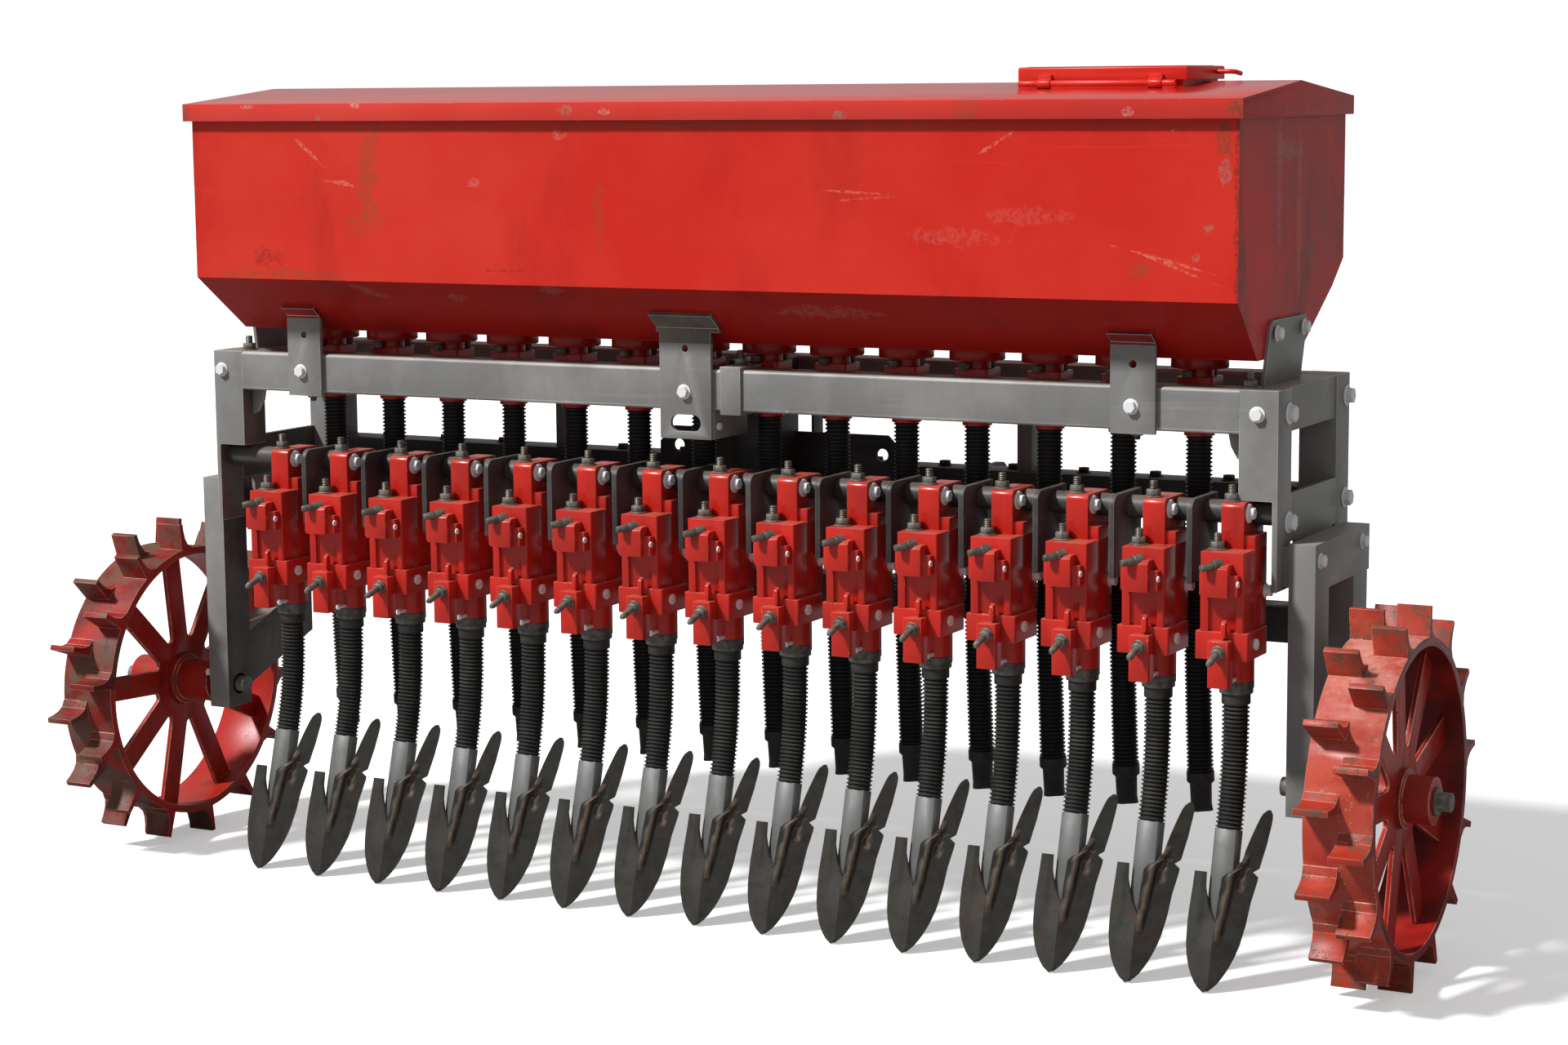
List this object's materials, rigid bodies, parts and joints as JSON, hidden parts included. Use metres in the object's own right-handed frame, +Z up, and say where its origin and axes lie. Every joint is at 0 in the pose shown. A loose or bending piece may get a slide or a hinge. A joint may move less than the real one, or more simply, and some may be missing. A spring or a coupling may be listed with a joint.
{
  "type": "seed drill",
  "caption": "Mounted seed drill: sheet-metal seed hopper on a box frame, a row of hose-fed shovel openers under cast row blocks, and a lugged ground wheel at each side.",
  "frame": {"origin": "centre of the overall box at ground level", "axes": "+X across the machine to its right, +Y forwards in the direction of travel towards the hitch, +Z up"},
  "size_m": [2.38, 0.6697, 1.3235],
  "materials": {
    "red_paint": "satin",
    "red_alloy": "satin",
    "grey_paint": "satin",
    "bare_steel": "satin",
    "dark_steel": "satin",
    "black_rubber": "matte"
  },
  "bodies": {
    "frame": {"top_rail_front": "grey_paint", "top_rail_rear": "grey_paint", "side_top_rails": "grey_paint", "front_posts": "grey_paint", "rear_posts": "grey_paint", "side_lower_plates": "grey_paint", "rear_beam": "dark_steel", "tool_beam": "dark_steel", "beam_hangers": "grey_paint", "corner_gussets": "grey_paint", "cross_tube": "red_paint", "unit_ears": "red_paint", "unit_blocks": "red_paint", "unit_locks": "red_paint", "unit_collars": "red_paint", "unit_latches": "red_paint", "hose_clamps": "dark_steel", "row_hoses": "black_rubber", "opener_tubes": "bare_steel", "opener_shovels": "dark_steel", "row_plates": "dark_steel", "hopper_front_panel": "red_paint", "hopper_rear_panel": "red_paint", "hopper_floor": "red_paint", "hopper_end_panels": "red_paint", "hopper_roof": "red_paint", "filler_curb": "red_paint", "lid_hinge": "red_paint", "lid_handle": "red_paint", "hopper_brackets": "grey_paint", "centre_bracket": "grey_paint", "rail_sleeve": "grey_paint", "hopper_end_mounts": "grey_paint", "metering_cups": "red_alloy", "drop_hoses": "black_rubber", "hose_boots": "black_rubber", "wheel_carriers": "grey_paint", "axles": "bare_steel", "hitch_column": "dark_steel", "hitch_plate": "dark_steel", "rear_uprights": "dark_steel", "lower_hitch_ears": "dark_steel", "lower_hitch_pins": "bare_steel", "mast_plates": "dark_steel"},
    "left_wheel": {"left_wheel_rim": "red_paint", "left_wheel_spokes": "red_paint", "left_wheel_hub": "red_paint"},
    "right_wheel": {"right_wheel_rim": "red_paint", "right_wheel_spokes": "red_paint", "right_wheel_hub": "red_paint"},
    "filler_lid": {"filler_lid": "red_paint"}
  },
  "joints": [
    {"name": "left_wheel_spin", "type": "hinge", "parent": "frame", "child": "left_wheel", "pos_m": [-1.0953, -0.056, 0.27775], "axis": [1, 0, 0], "continuous": true},
    {"name": "right_wheel_spin", "type": "hinge", "parent": "frame", "child": "right_wheel", "pos_m": [1.0953, -0.056, 0.27775], "axis": [1, 0, 0], "continuous": true},
    {"name": "filler_lid_hinge", "type": "hinge", "parent": "frame", "child": "filler_lid", "pos_m": [0.645, -0.0565, 1.29853], "axis": [1, 0, 0], "range_deg": [0, 110]}
  ]
}
